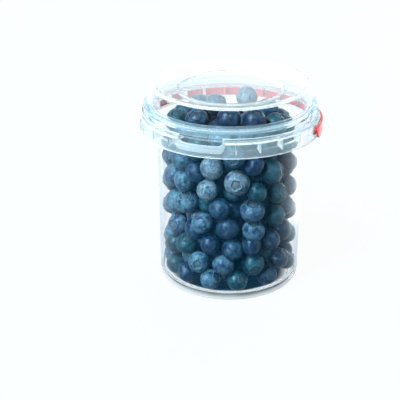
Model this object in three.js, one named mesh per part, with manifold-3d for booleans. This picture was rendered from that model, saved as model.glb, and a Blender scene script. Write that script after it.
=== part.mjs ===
// A clear round tub full of blueberries, with a press-on domed lid and a red bail handle.
// Millimetres, +Z up. The origin is on the tub's axis, in the plane that its foot stands on.
// +X runs along the handle's pivots, and -Y is the front, where the collar has its pull notch.
import * as THREE from 'three';
import { mergeVertices } from 'three/addons/utils/BufferGeometryUtils.js';
import Module from 'manifold-3d';

const wasm = await Module();
wasm.setup();

const TURN = 2 * Math.PI;
const AROUND = 40; // facets round the tub and the lid
const GAP = 0.35; // clearance between neighbouring pieces

// Tub: a drawn cup with a foot ring, a shoulder under the collar and a rolled rim
const WALL = 0.9;
const FOOT_R = 43.7;
const FOOT_RING = 2.8;
const FLOOR_Z = 2.6; // underside of the floor, inside the foot ring
const BODY_LOW_R = 46.8;
const BODY_TOP_R = 47.3;
const CORNER_H = 7.5; // height of the rounded corner over the foot
const SHOULDER_Z = 104;
const SHOULDER_H = 5.2;
const NECK_R = 53;
const RIM_R = 55.2;
const RIM_Z = 121.5;

// Collar: the skirt that guards the lid's edge, carried by a web and gusset ribs
const COLLAR_R = 58.7;
const COLLAR_LIP_R = 58.95;
const COLLAR_WALL = 1;
const COLLAR_LOW_Z = 105.2;
const COLLAR_TOP_Z = 118;
const BAND_R = 57.9; // the collar's upper band, above its ledge
const BAND_WALL = 0.8;
const WEB_Z = 114.2;
const WEB_T = 1;
const RIBS = 24;
const RIB_T = 1;
const RIB_LOW_Z = 108.5;

// Pull notch in the collar's front, with its raised frame
const NOTCH_HALF = 14.4;
const NOTCH_LOW_Z = 113.5;
const NOTCH_CORNER = 4.5;
const NOTCH_BACK_R = 53.3;
const FRAME_LEG_LEFT = 3.1;
const FRAME_LEG_RIGHT = 1.5;
const FRAME_BOTTOM = 5.3;
const FRAME_R = 59;

// Lid: a flange that presses over the rim, and a dome with a stacking ring and a sunk panel
const SKIRT_R = 56.7;
const SKIRT_LOW_Z = 116.4;
const FLANGE_Z = 122.3;
const DOME_BASE_R = 53.4;
const DOME_BASE_Z = 124;
const DOME_TOP_R = 52.3;
const CREST_R = 50.4;
const CREST_Z = 136;
const ANNULUS_R = 46.6;
const ANNULUS_Z = 132.7;
const PANEL_R = 33.4;
const PANEL_Z = 130.1;
const PLUG_R = 51.7;
const PLUG_LOW_Z = 118.6;

// Handle: a strap bent to a half circle, with a boss, a pin and a rivet head at each end
const PIVOT_Z = 109.4;
const STRAP_R = 59.35; // inner face
const STRAP_T = 0.9;
const STRAP_H = 6.8;
const BOSS_R = 4.4;
const BOSS_T = 1.2;
const PIN_R = 1.9;
const HEAD_R = 3;
const HEAD_T = 1.6;
const COLLAR_INNER_R = COLLAR_R - COLLAR_WALL;

// Blueberries
const BERRIES = 241;
const BERRY_R_MIN = 7.1;
const BERRY_R_MAX = 8.6;
const FLATNESS = 0.88; // a berry's height over its width
const HEAP_R = BODY_LOW_R - WALL - GAP;
const HEAP_LOW_Z = FLOOR_Z + WALL + GAP;
const MOUND_Z = 104; // above this height the heap draws in
const MOUND_SLOPE = 0.6;
const POUR_R = 38;
const POUR_TOP_Z = 107.5; // the highest that a poured berry lies
const BACK_Y = 30; // past this the mound is lower
const BACK_TOP_Z = 104;
const SETTLE_STEPS = 300;
const SETTLE_PULL = 0.45;
const SETTLE_SPREAD = 0.35; // how far a step rolls a berry towards the wall
const CORE_R = 38.5;
const POST_R = 3.4; // posts that carry the berries of the mound on the core, hidden under them
const POST_LOW_Z = 100;
const SHOWING_DEPTH = 3; // a berry this close to the wall shows through it
const SHOWING_TOP_Z = 98;

// Berries pressed against the wall: [degrees from the front, height, radius]
const WALL_BERRIES = [
  [23, 99, 7.5], [-33, 92, 8], [1, 90, 7.9], [64, 84.3, 8.3], [26, 80.3, 8.5], [-32, 77, 7.8],
  [-3, 75, 7.3], [45, 73, 6.9], [9, 63, 7.2], [-29, 62, 8], [42, 60, 8.4], [-9, 51, 7.5],
  [17, 49, 7.4], [43, 46, 7.8], [22, 34, 7.2], [43, 21.5, 7.9], [77, 19.5, 7.4], [72, 68, 7.2],
  [-43, 43, 7.1], [-1, 37, 7.2], [70, 52, 7.2], [-71, 85, 7.8], [-70, 68, 7.8], [-71, 50, 8],
  [-68, 28, 7.5], [62, 36.5, 7.6], [95, 84, 7.6], [104, 65, 7.7], [104, 48, 7.6],
  [103, 30.3, 7.6], [-28.5, 32.3, 7.6], [-12, 22, 7.4], [13, 22.5, 7.4], [97, 12, 7.5],
];
// Berries in a ring round the foot of the wall, in degrees from the front
const FLOOR_RING = [59, 27, 0, -27, -50, -74, -98, -122, -146, -170, 166, 142, 120];
const FLOOR_RING_R = 7.3;
// Berries on the mound and in the gaps: [degrees from the front, distance out, height, radius]
const INNER_BERRIES = [
  [156, 16.3, 120.8, 7.4], [-93, 21.4, 116.4, 7.8], [-48, 9.9, 121, 7.4], [108, 24.6, 117, 7.5],
  [17, 27.5, 120.3, 7.9], [48, 31, 119, 7.8], [-22, 32, 118, 7.6], [-55, 35, 113.5, 7.8],
  [78, 34, 113.5, 7.7], [40, 26, 34, 7.4], [24, 27, 71, 7.6],
];

const deg = (angle) => (angle * Math.PI) / 180;

// Profile helpers: a profile is a list of [radius, height] pairs
function arc(centreR, centreZ, radiusR, radiusZ, from, to, steps) {
  return Array.from({ length: steps + 1 }, (_, i) => {
    const angle = deg(from + ((to - from) * i) / steps);
    return [centreR + radiusR * Math.cos(angle), centreZ + radiusZ * Math.sin(angle)];
  });
}

function revolved(profile, around = AROUND) {
  const points = profile.map(([r, z]) => new THREE.Vector2(r, z));
  return new THREE.LatheGeometry(points, around).rotateX(Math.PI / 2);
}

// Conversions between three.js geometry and manifold solids
function solid(geometry) {
  const bare = new THREE.BufferGeometry();
  bare.setAttribute('position', geometry.getAttribute('position'));
  bare.setIndex(geometry.getIndex());
  const merged = mergeVertices(bare, 1e-4);
  const index = merged.getIndex().array;
  const triangles = [];
  for (let i = 0; i < index.length; i += 3) {
    const [a, b, c] = [index[i], index[i + 1], index[i + 2]];
    if (a !== b && b !== c && c !== a) triangles.push(a, b, c);
  }
  return new wasm.Manifold(new wasm.Mesh({
    numProp: 3,
    vertProperties: new Float32Array(merged.getAttribute('position').array),
    triVerts: new Uint32Array(triangles),
  }));
}

function geometryOf(manifold) {
  const mesh = manifold.getMesh();
  const geometry = new THREE.BufferGeometry();
  geometry.setAttribute('position', new THREE.BufferAttribute(mesh.vertProperties, 3));
  geometry.setIndex(new THREE.BufferAttribute(mesh.triVerts, 1));
  geometry.computeVertexNormals();
  return geometry;
}

function revolvedSolid(profile, around = AROUND) {
  return solid(revolved(profile, around));
}

function cylinderAlongX(radius, xFrom, xTo, z, sides = 12) {
  const geometry = new THREE.CylinderGeometry(radius, radius, xTo - xFrom, sides);
  geometry.rotateZ(Math.PI / 2).translate((xFrom + xTo) / 2, 0, z);
  return solid(geometry);
}

// A shape drawn in X and Z, pushed along Y from yFrom to yTo
function plateAlongY(shape, yFrom, yTo) {
  const geometry = new THREE.ExtrudeGeometry(shape, {
    depth: yTo - yFrom, bevelEnabled: false, curveSegments: 5,
  });
  return solid(geometry.rotateX(Math.PI / 2).translate(0, yTo, 0));
}

// A U outline, open at the top, with rounded lower corners
function uShape(left, right, low, high, corner) {
  const shape = new THREE.Shape();
  shape.moveTo(left, high);
  shape.lineTo(left, low + corner);
  shape.quadraticCurveTo(left, low, left + corner, low);
  shape.lineTo(right - corner, low);
  shape.quadraticCurveTo(right, low, right, low + corner);
  shape.lineTo(right, high);
  shape.closePath();
  return shape;
}

function cupProfile() {
  const cornerR = BODY_LOW_R - FOOT_R;
  const innerLow = BODY_LOW_R - WALL;
  const innerTop = BODY_TOP_R - WALL;
  const innerNeck = NECK_R - WALL;
  const innerFloor = FLOOR_Z + WALL;
  const shoulderTop = SHOULDER_Z + SHOULDER_H;
  const outerStep = NECK_R - BODY_TOP_R;
  return [
    [0, FLOOR_Z],
    [FOOT_R - FOOT_RING - 0.3, FLOOR_Z],
    [FOOT_R - FOOT_RING, 0],
    ...arc(FOOT_R, CORNER_H, cornerR, CORNER_H, -90, 0, 3),
    [BODY_TOP_R, SHOULDER_Z],
    [BODY_TOP_R + 0.2 * outerStep, SHOULDER_Z + 0.35 * SHOULDER_H],
    [BODY_TOP_R + 0.8 * outerStep, SHOULDER_Z + 0.65 * SHOULDER_H],
    [NECK_R, shoulderTop],
    [NECK_R, RIM_Z - 2.6],
    [RIM_R, RIM_Z - 1.6],
    [RIM_R - 0.3, RIM_Z],
    [innerNeck, RIM_Z],
    [innerNeck, shoulderTop + 0.3],
    [innerTop + 0.8 * outerStep, SHOULDER_Z + 0.8 * SHOULDER_H],
    [innerTop + 0.2 * outerStep, SHOULDER_Z + 0.5 * SHOULDER_H],
    [innerTop, SHOULDER_Z + 0.15 * SHOULDER_H],
    ...arc(innerLow - 6.5, innerFloor + 6.5, 6.5, 6.5, 0, -90, 3),
    [0, innerFloor],
  ];
}

function collarProfile() {
  const webTop = WEB_Z + WEB_T;
  const inner = COLLAR_INNER_R;
  const embed = NECK_R - 0.4;
  return [
    [embed, WEB_Z],
    [inner - 0.2, WEB_Z],
    [inner, COLLAR_LOW_Z],
    [COLLAR_LIP_R, COLLAR_LOW_Z],
    [COLLAR_R, COLLAR_LOW_Z + 1.2],
    [COLLAR_R, webTop - 0.6],
    [BAND_R, webTop + 0.1],
    [BAND_R - 0.2, COLLAR_TOP_Z],
    [BAND_R - BAND_WALL, COLLAR_TOP_Z],
    [BAND_R - BAND_WALL, webTop],
    [embed, webTop],
    [embed, WEB_Z],
  ];
}

// One gusset rib between the neck and the collar, turned to its angle
function rib(angle) {
  const inner = NECK_R - 0.6;
  const outer = COLLAR_INNER_R + 0.3;
  const height = WEB_Z + 0.3 - RIB_LOW_Z;
  const geometry = new THREE.BoxGeometry(outer - inner, RIB_T, height);
  geometry.translate((inner + outer) / 2, 0, RIB_LOW_Z + height / 2).rotateZ(angle);
  return solid(geometry);
}

// A part of the front, bent round the axis: a shape in X and Z, from one radius to another
function bentPlate(shape, fromR, toR) {
  const low = RIB_LOW_Z - 4;
  const high = RIM_Z;
  const ring = revolvedSolid([[fromR, low], [toR, low], [toR, high], [fromR, high], [fromR, low]]);
  return plateAlongY(shape, -toR - 1, -30).intersect(ring);
}

function notchCutter() {
  const shape = uShape(-NOTCH_HALF, NOTCH_HALF, NOTCH_LOW_Z, COLLAR_TOP_Z + 0.5, NOTCH_CORNER);
  return bentPlate(shape, NOTCH_BACK_R, COLLAR_R + 3);
}

function notchFrame() {
  const left = -NOTCH_HALF - FRAME_LEG_LEFT;
  const right = NOTCH_HALF + FRAME_LEG_RIGHT;
  const low = NOTCH_LOW_Z - FRAME_BOTTOM;
  const shape = uShape(left, right, low, COLLAR_TOP_Z - 0.2, NOTCH_CORNER + 1);
  return bentPlate(shape, BAND_R - 0.4, FRAME_R);
}

function makeTub() {
  let tub = revolvedSolid(cupProfile()).add(revolvedSolid(collarProfile()));
  for (let i = 0; i < RIBS; i += 1) tub = tub.add(rib(((i + 0.5) * TURN) / RIBS));
  tub = tub.add(notchFrame()).subtract(notchCutter());
  for (const side of [-1, 1]) {
    const xs = [side * (COLLAR_INNER_R - 1.5), side * (COLLAR_LIP_R + 1)].sort((a, b) => a - b);
    tub = tub.subtract(cylinderAlongX(PIN_R + GAP, xs[0], xs[1], PIVOT_Z));
  }
  return geometryOf(tub);
}

function makeLid() {
  const inside = DOME_BASE_R - WALL;
  return revolved([
    [0, PANEL_Z],
    [0, PANEL_Z - WALL],
    [PANEL_R + WALL, PANEL_Z - WALL],
    [PANEL_R + WALL + 0.3, ANNULUS_Z - WALL],
    [ANNULUS_R + 0.5, ANNULUS_Z - WALL],
    [CREST_R - 1, CREST_Z - WALL],
    [DOME_TOP_R - WALL, CREST_Z - 2],
    [inside, DOME_BASE_Z + 0.6],
    [PLUG_R - WALL, DOME_BASE_Z - 0.8],
    [PLUG_R - WALL, PLUG_LOW_Z],
    [PLUG_R, PLUG_LOW_Z],
    [PLUG_R, RIM_Z + GAP],
    [SKIRT_R - WALL, RIM_Z + GAP],
    [SKIRT_R - WALL, SKIRT_LOW_Z],
    [SKIRT_R, SKIRT_LOW_Z],
    [SKIRT_R, FLANGE_Z],
    [DOME_BASE_R, DOME_BASE_Z],
    [DOME_TOP_R, CREST_Z - 1.4],
    [CREST_R, CREST_Z],
    [CREST_R - 2, CREST_Z],
    [ANNULUS_R, ANNULUS_Z],
    [PANEL_R + 0.3, ANNULUS_Z],
    [PANEL_R, PANEL_Z],
    [0, PANEL_Z],
  ]);
}

function makeHandle() {
  const outer = STRAP_R + STRAP_T;
  const outline = new THREE.Shape();
  outline.absarc(0, 0, outer, 0, Math.PI, false);
  outline.absarc(0, 0, STRAP_R, Math.PI, 0, true);
  outline.closePath();
  const strap = new THREE.ExtrudeGeometry(outline, {
    depth: STRAP_H, bevelEnabled: false, curveSegments: 22,
  });
  let handle = solid(strap.translate(0, 0, PIVOT_Z - STRAP_H / 2));
  for (const side of [-1, 1]) {
    const piece = (radius, from, to) => {
      const xs = [side * from, side * to].sort((a, b) => a - b);
      handle = handle.add(cylinderAlongX(radius, xs[0], xs[1], PIVOT_Z));
    };
    const headX = COLLAR_INNER_R - 0.5;
    piece(BOSS_R, STRAP_R, STRAP_R + BOSS_T);
    piece(PIN_R, headX - 0.2, STRAP_R + 0.2);
    piece(HEAD_R, headX - HEAD_T, headX);
  }
  return geometryOf(handle);
}

// Park-Miller draws from 0 to 1
function drawsFrom(start) {
  let seed = start;
  return () => {
    seed = (seed * 16807) % 2147483647;
    return seed / 2147483647;
  };
}

function inBall(draw) {
  for (;;) {
    const v = [2 * draw() - 1, 2 * draw() - 1, 2 * draw() - 1];
    const square = v[0] * v[0] + v[1] * v[1] + v[2] * v[2];
    if (square > 0.01 && square < 1) return v;
  }
}

function placedBerry([angle, out, z, radius], draw) {
  const x = out * Math.sin(deg(angle));
  const y = -out * Math.cos(deg(angle));
  return { x, y, z, radius, stem: inBall(draw), placed: true };
}

// Berries are poured into the cup round the placed ones. Each starts at a random place, is drawn
// down and rolled towards the wall a little at every step, and is pushed off what it touches.
function settledBerries() {
  const draw = drawsFrom(20741);
  const atWall = WALL_BERRIES.map(([angle, z, radius]) => [angle, HEAP_R - radius, z, radius]);
  const onFloor = FLOOR_RING.map((angle) => [
    angle, HEAP_R - FLOOR_RING_R, HEAP_LOW_Z + FLOOR_RING_R, FLOOR_RING_R,
  ]);
  const placed = [...atWall, ...onFloor, ...INNER_BERRIES];
  const berries = placed.map((place) => placedBerry(place, draw));
  const poured = BERRIES - berries.length;
  for (let i = 0; i < poured; i += 1) {
    const radius = BERRY_R_MIN + (BERRY_R_MAX - BERRY_R_MIN) * draw();
    const [x, y] = inBall(draw);
    const z = HEAP_LOW_Z + radius + ((POUR_TOP_Z - HEAP_LOW_Z) * i) / poured;
    berries.push({ x: POUR_R * x, y: POUR_R * y, z, radius, stem: inBall(draw), placed: false });
  }
  for (let step = 0; step < SETTLE_STEPS; step += 1) {
    const fade = 1 - step / SETTLE_STEPS;
    for (const berry of berries) roll(berry, SETTLE_PULL * fade, SETTLE_SPREAD * fade);
    for (let i = 0; i < BERRIES; i += 1) {
      for (let j = i + 1; j < BERRIES; j += 1) pushApart(berries[i], berries[j]);
    }
    for (const berry of berries) keepInside(berry);
  }
  return berries.filter((berry) => berry.placed || berry.z < BACK_TOP_Z || berry.y < BACK_Y);
}

function roll(berry, pull, spread) {
  if (berry.placed) return;
  berry.z -= pull;
  const out = Math.sqrt(berry.x * berry.x + berry.y * berry.y);
  if (berry.z > MOUND_Z - 8 || out === 0) return;
  berry.x *= 1 + spread / out;
  berry.y *= 1 + spread / out;
}

function pushApart(a, b) {
  const reach = a.radius + b.radius;
  const dz = b.z - a.z;
  if (dz > reach || dz < -reach || (a.placed && b.placed)) return;
  const dx = b.x - a.x;
  const dy = b.y - a.y;
  const square = dx * dx + dy * dy + dz * dz;
  if (square >= reach * reach || square === 0) return;
  const distance = Math.sqrt(square);
  const push = (reach - distance) / distance;
  const share = a.placed ? 0 : b.placed ? push : 0.5 * push;
  const rest = push - share;
  a.x -= dx * share;
  a.y -= dy * share;
  a.z -= dz * share;
  b.x += dx * rest;
  b.y += dy * rest;
  b.z += dz * rest;
}

function keepInside(berry) {
  if (berry.placed) return;
  let room = HEAP_R - berry.radius;
  if (berry.z > MOUND_Z) room -= MOUND_SLOPE * (berry.z - MOUND_Z);
  const out = Math.sqrt(berry.x * berry.x + berry.y * berry.y);
  if (out > room) {
    berry.x *= room / out;
    berry.y *= room / out;
  }
  berry.z = Math.max(berry.z, HEAP_LOW_Z + berry.radius);
  berry.z = Math.min(berry.z, POUR_TOP_Z);
}

function postSolid({ x, y, z }) {
  const geometry = new THREE.CylinderGeometry(POST_R, POST_R, z - POST_LOW_Z, 6);
  return solid(geometry.rotateX(Math.PI / 2).translate(x, y, (z + POST_LOW_Z) / 2));
}

function berrySolid({ x, y, z, radius, stem, placed }) {
  const geometry = new THREE.SphereGeometry(radius, placed ? 7 : 6, 4).scale(1, 1, FLATNESS);
  const axis = new THREE.Vector3(...stem).normalize();
  const turn = new THREE.Quaternion().setFromUnitVectors(new THREE.Vector3(0, 0, 1), axis);
  return solid(geometry.applyQuaternion(turn).translate(x, y, z));
}

function makeHeap() {
  const core = revolvedSolid([
    [0, 8],
    [CORE_R - 4, 8],
    [CORE_R, 12],
    [CORE_R, 100],
    [CORE_R - 6, 110],
    [CORE_R - 20, 115],
    [0, 117],
  ], 28);
  const shows = ({ x, y, z, radius }) => {
    const depth = HEAP_R - radius - Math.hypot(x, y);
    return depth < SHOWING_DEPTH || z > SHOWING_TOP_Z || z < HEAP_LOW_Z + radius + 0.5;
  };
  let heap = core;
  for (const berry of settledBerries().filter(shows)) {
    heap = heap.add(berrySolid(berry));
    if (berry.z > POUR_TOP_Z) heap = heap.add(postSolid(berry));
  }
  const bodies = heap.decompose().sort((a, b) => b.volume() - a.volume());
  return geometryOf(bodies[0]);
}

// Materials
const clearPlastic = () => new THREE.MeshStandardMaterial({
  color: 0xe9eef0, roughness: 0.12, metalness: 0, transparent: true, opacity: 0.35,
});
const redPlastic = new THREE.MeshStandardMaterial({ color: 0xe01b14, roughness: 0.35, metalness: 0 });
const berrySkin = new THREE.MeshStandardMaterial({ color: 0x2b3f5c, roughness: 0.6, metalness: 0 });

function piece(name, geometry, material) {
  const mesh = new THREE.Mesh(geometry, material);
  mesh.name = name;
  return mesh;
}

const tubOfBerries = new THREE.Group();
tubOfBerries.add(piece('tub', makeTub(), clearPlastic()));
tubOfBerries.add(piece('lid', makeLid(), clearPlastic()));
tubOfBerries.add(piece('handle', makeHandle(), redPlastic));
tubOfBerries.add(piece('blueberries', makeHeap(), berrySkin));

export default tubOfBerries;
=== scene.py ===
import math

import bmesh
import bpy
import numpy as np
from mathutils import Matrix, Vector


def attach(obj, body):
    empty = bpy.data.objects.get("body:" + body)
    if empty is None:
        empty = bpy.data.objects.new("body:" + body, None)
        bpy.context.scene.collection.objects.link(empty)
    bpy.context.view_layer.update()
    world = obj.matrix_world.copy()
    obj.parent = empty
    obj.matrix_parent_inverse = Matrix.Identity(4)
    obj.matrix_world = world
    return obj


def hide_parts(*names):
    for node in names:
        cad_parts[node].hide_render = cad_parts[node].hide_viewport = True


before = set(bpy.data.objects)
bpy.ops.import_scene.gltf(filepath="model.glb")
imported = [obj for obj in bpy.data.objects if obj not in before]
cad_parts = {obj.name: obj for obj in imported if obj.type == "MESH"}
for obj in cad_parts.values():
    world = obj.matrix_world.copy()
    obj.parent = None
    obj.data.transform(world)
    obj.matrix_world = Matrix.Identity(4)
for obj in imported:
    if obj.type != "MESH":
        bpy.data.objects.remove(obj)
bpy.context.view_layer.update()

# ---- Camera ----
# It stands about 0.8 m off and looks down on the lid by 24 degrees, turned 18.5 degrees to the right of
# the pull notch. The long lens keeps the rings of the collar and the lid close to true ellipses.
MM = 0.001
CAMERA_TURN = math.radians(18.5)
CAMERA_DISTANCE = 700 * MM
CAMERA_HEIGHT = 364 * MM
CAMERA_YAW = math.radians(-1.62)
CAMERA_PITCH = math.radians(24.02)
CAMERA_ROLL = math.radians(0.2)
FOCAL_PIXELS = 1137
PICTURE_PIXELS = 400
SENSOR_MM = 36
NEAREST_SEEN = 50 * MM


def make_camera():
    data = bpy.data.cameras.new("camera")
    data.sensor_width = SENSOR_MM
    data.lens = SENSOR_MM * FOCAL_PIXELS / PICTURE_PIXELS
    data.clip_start = NEAREST_SEEN
    camera = bpy.data.objects.new("camera", data)
    bpy.context.collection.objects.link(camera)
    around = Matrix.Rotation(CAMERA_TURN, 4, "Z")
    place = Matrix.Translation((0, -CAMERA_DISTANCE, CAMERA_HEIGHT))
    aim = (
        Matrix.Rotation(-CAMERA_YAW, 4, "Z")
        @ Matrix.Rotation(math.pi / 2 - CAMERA_PITCH, 4, "X")
        @ Matrix.Rotation(-CAMERA_ROLL, 4, "Z")
    )
    camera.matrix_world = around @ place @ aim
    bpy.context.scene.camera = camera


make_camera()

# ---- Tub ----
# One injection moulding in clear polypropylene: a thin cup on a foot ring, a shoulder, a rolled rim, and a
# guard collar held by a web with gusset ribs. The collar is milkier than the cup, and a pull notch in a
# frosted frame is cut into its front. Sizes are in millimetres.
AROUND = 192
WALL = 0.9
FOOT_R = 43.7
FOOT_RING = 2.8
FLOOR_Z = 2.6
BODY_LOW_R = 46.8
BODY_TOP_R = 47.3
CORNER_H = 7.5
INNER_CORNER = 6.5
SHOULDER_Z = 104
SHOULDER_H = 5.2
NECK_R = 53
RIM_R = 55.2
RIM_Z = 121.5
COLLAR_R = 58.7
COLLAR_LIP_R = 58.95
COLLAR_WALL = 1
COLLAR_LOW_Z = 105.2
COLLAR_TOP_Z = 118
COLLAR_INNER_R = COLLAR_R - COLLAR_WALL
BAND_R = 57.9
BAND_WALL = 0.8
WEB_Z = 114.2
WEB_T = 1
RIBS = 24
RIB_T = 0.8
RIB_LOW_Z = 107.6
RIB_ROOT = 0.45
RIB_SEAT = 0.4
RIB_MIDDLE_R = 55
RIB_CHAMFER = 1.6
RIBLESS_HALF = math.radians(11)
NOTCH_HALF = 14.4
NOTCH_LOW_Z = 113
NOTCH_CORNER = 4.5
NOTCH_BACK_R = 53.3
FRAME_LEG_LEFT = 3.1
FRAME_LEG_RIGHT = 1.5
FRAME_BOTTOM = 4.8
FRAME_R = 58.98
FRAME_EASE = 0.35
WRAP_CUTS = 24
PIVOT_Z = 109.4
PIN_R = 1.9
PIN_GAP = 0.35
SAME_POINT = 1e-7
# Heights of the bands with a finish of their own: the collar's white edges, partly frosted and partly
# painted highlight, the foot and the rolled rim
EDGE_BAND = 0.35
FOOT_BAND = 6
RIM_BAND = 3
PALE_MILK = (0.8, 0.93, 1)


def rounded(corners, steps=4):
    """Points of an outline through (radius, height, fillet) corners, each eased over its fillet."""
    points = []
    for i, (r, z, fillet) in enumerate(corners):
        here = Vector((r, z))
        if not fillet:
            points.append(here)
            continue
        before = Vector(corners[i - 1][:2]) - here
        after = Vector(corners[(i + 1) % len(corners)][:2]) - here
        start = here + before.normalized() * min(fillet, 0.48 * before.length)
        end = here + after.normalized() * min(fillet, 0.48 * after.length)
        for k in range(steps + 1):
            t = k / steps
            points.append(start * (1 - t) ** 2 + here * 2 * t * (1 - t) + end * t * t)
    return points


def quarter(centre, size, start, end, steps=8):
    """Corners along an elliptical arc, its angles in degrees."""
    angles = [math.radians(start + (end - start) * k / steps) for k in range(steps + 1)]
    return [(centre[0] + size[0] * math.cos(a), centre[1] + size[1] * math.sin(a), 0) for a in angles]


def new_object(name, mesh_bm):
    mesh = bpy.data.meshes.new(name)
    mesh_bm.to_mesh(mesh)
    mesh_bm.free()
    thing = bpy.data.objects.new(name, mesh)
    bpy.context.collection.objects.link(thing)
    return thing


def turn_outline(work, outline, steps):
    """Turns an open outline of (radius, height) points, from axis to axis, once round the axis."""
    ring = [work.verts.new((p[0] * MM, 0, p[1] * MM)) for p in outline]
    edges = [work.edges.new(pair) for pair in zip(ring, ring[1:])]
    bmesh.ops.spin(
        work, geom=ring + edges, cent=(0, 0, 0), axis=(0, 0, 1),
        angle=2 * math.pi, steps=steps, use_merge=True,
    )
    bmesh.ops.remove_doubles(work, verts=work.verts, dist=SAME_POINT)


def turned(name, outline):
    """The solid that the outline encloses when it is turned."""
    work = bmesh.new()
    turn_outline(work, outline, AROUND)
    bmesh.ops.recalc_face_normals(work, faces=work.faces)
    return new_object(name, work)


def combine(base, tool, operation):
    """Joins or cuts base with tool, which is used up."""
    step = base.modifiers.new("combine", "BOOLEAN")
    step.operation = operation
    step.solver = "MANIFOLD"
    step.object = tool
    step.material_mode = "TRANSFER"
    bpy.context.view_layer.objects.active = base
    bpy.ops.object.modifier_apply(modifier=step.name)
    bpy.data.objects.remove(tool)


def finish_surface(thing, angle=32):
    """Smooth shading that breaks at edges sharper than the angle in degrees."""
    thing.data.shade_smooth()
    thing.data.set_sharp_from_angle(angle=math.radians(angle))
    step = thing.modifiers.new("even normals", "WEIGHTED_NORMAL")
    step.keep_sharp = True
    bpy.context.view_layer.objects.active = thing
    bpy.ops.object.modifier_apply(modifier=step.name)


def place_piece(piece, body, slot, *nodes):
    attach(piece, body)
    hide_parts(*nodes)


class FinishSteps:
    """The nodes of a material or of the world, and the few kinds of step that the finishes are made of. A
    number, a colour, a direction or another step's socket goes into each input."""

    def __init__(self, owner):
        owner.use_nodes = True
        self.nodes = owner.node_tree.nodes
        self.links = owner.node_tree.links

    def fill(self, node, inputs):
        for name, value in inputs.items():
            socket = node.inputs[name]
            if isinstance(value, bpy.types.NodeSocket):
                self.links.new(value, socket)
            elif socket.type == "RGBA":
                socket.default_value = (*value, 1)
            else:
                socket.default_value = value

    def add(self, kind, inputs=None, **settings):
        node = self.nodes.new("ShaderNode" + kind)
        for name, setting in settings.items():
            setattr(node, name, setting)
        self.fill(node, inputs or {})
        return node

    def noise(self, scale, detail, roughness=0.5):
        """Noise that stays still in the piece."""
        where = self.add("TexCoord").outputs["Object"]
        inputs = {"Vector": where, "Scale": scale, "Detail": detail, "Roughness": roughness}
        return self.add("TexNoise", inputs).outputs["Fac"]

    def ranged(self, value, low, high, to_low=0, to_high=1, curve="SMOOTHSTEP"):
        """A number that goes from to_low to to_high as the value goes from low to high."""
        inputs = {"Value": value, "From Min": low, "From Max": high, "To Min": to_low, "To Max": to_high}
        return self.add("MapRange", inputs, interpolation_type=curve).outputs["Result"]

    def maths(self, operation, first, second):
        return self.add("Math", {0: first, 1: second}, operation=operation).outputs[0]

    def number_between(self, share, first, second):
        return self.add("Mix", {"Factor": share, 2: first, 3: second}).outputs[0]

    def colour_between(self, share, first, second):
        return self.add("Mix", {"Factor": share, 6: first, 7: second}, data_type="RGBA").outputs[2]

    def toned(self, value, first, second, low=0, high=1):
        """A colour that goes from the first to the second as the value goes from low to high."""
        ramp = self.add("ValToRGB", {"Fac": value})
        for element, place, colour in zip(ramp.color_ramp.elements, (low, high), (first, second)):
            element.position = place
            element.color = (*colour, 1)
        return ramp.outputs["Color"]

    def relief(self, height, strength, depth):
        """The lie of a surface with small relief, its depth in millimetres."""
        inputs = {"Height": height, "Strength": strength, "Distance": depth * MM}
        return self.add("Bump", inputs).outputs["Normal"]


def new_material(name):
    """A new material, its steps, and its Principled shader."""
    material = bpy.data.materials.new(name)
    steps = FinishSteps(material)
    return material, steps, steps.nodes["Principled BSDF"]


def plastic(name, haze, roughness, ior, milk=(0.75, 0.9, 0.95), mirror=0.5, edge_haze=0.4):
    """Clear polypropylene, a little wavy and uneven in gloss, as a thin moulding is. Haze is the share of
    light that it scatters in the colour milk, edge_haze is that share in a wall seen aslant, and mirror is
    the strength of its reflections."""
    material, steps, clear = new_material(name)
    smudges = steps.noise(260, 5)
    steps.fill(clear, {
        "Base Color": (1, 1, 1),
        "Transmission Weight": 1,
        "IOR": ior,
        "Specular Tint": (mirror, mirror, mirror),
        "Roughness": steps.ranged(smudges, 0.35, 0.7, 0.7 * roughness, 1.3 * roughness, "LINEAR"),
        "Normal": steps.relief(steps.noise(45, 2), 0.03, 1.5),
    })
    scatter = steps.add("BsdfPrincipled", {"Base Color": milk, "Roughness": 0.9, "Specular IOR Level": 0})
    slant = steps.add("LayerWeight").outputs["Facing"]
    share = steps.ranged(slant, 0.6, 1, haze, edge_haze, "LINEAR")
    milky = steps.add("MixShader", {0: share, 1: clear.outputs[0], 2: scatter.outputs[0]})
    passing = steps.add("BsdfTransparent", {"Color": (1 - 0.6 * haze,) * 3})
    in_shadow = steps.add("LightPath").outputs["Is Shadow Ray"]
    whole = steps.add("MixShader", {0: in_shadow, 1: milky.outputs[0], 2: passing.outputs[0]})
    steps.fill(steps.nodes["Material Output"], {"Surface": whole.outputs[0]})
    return material


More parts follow.
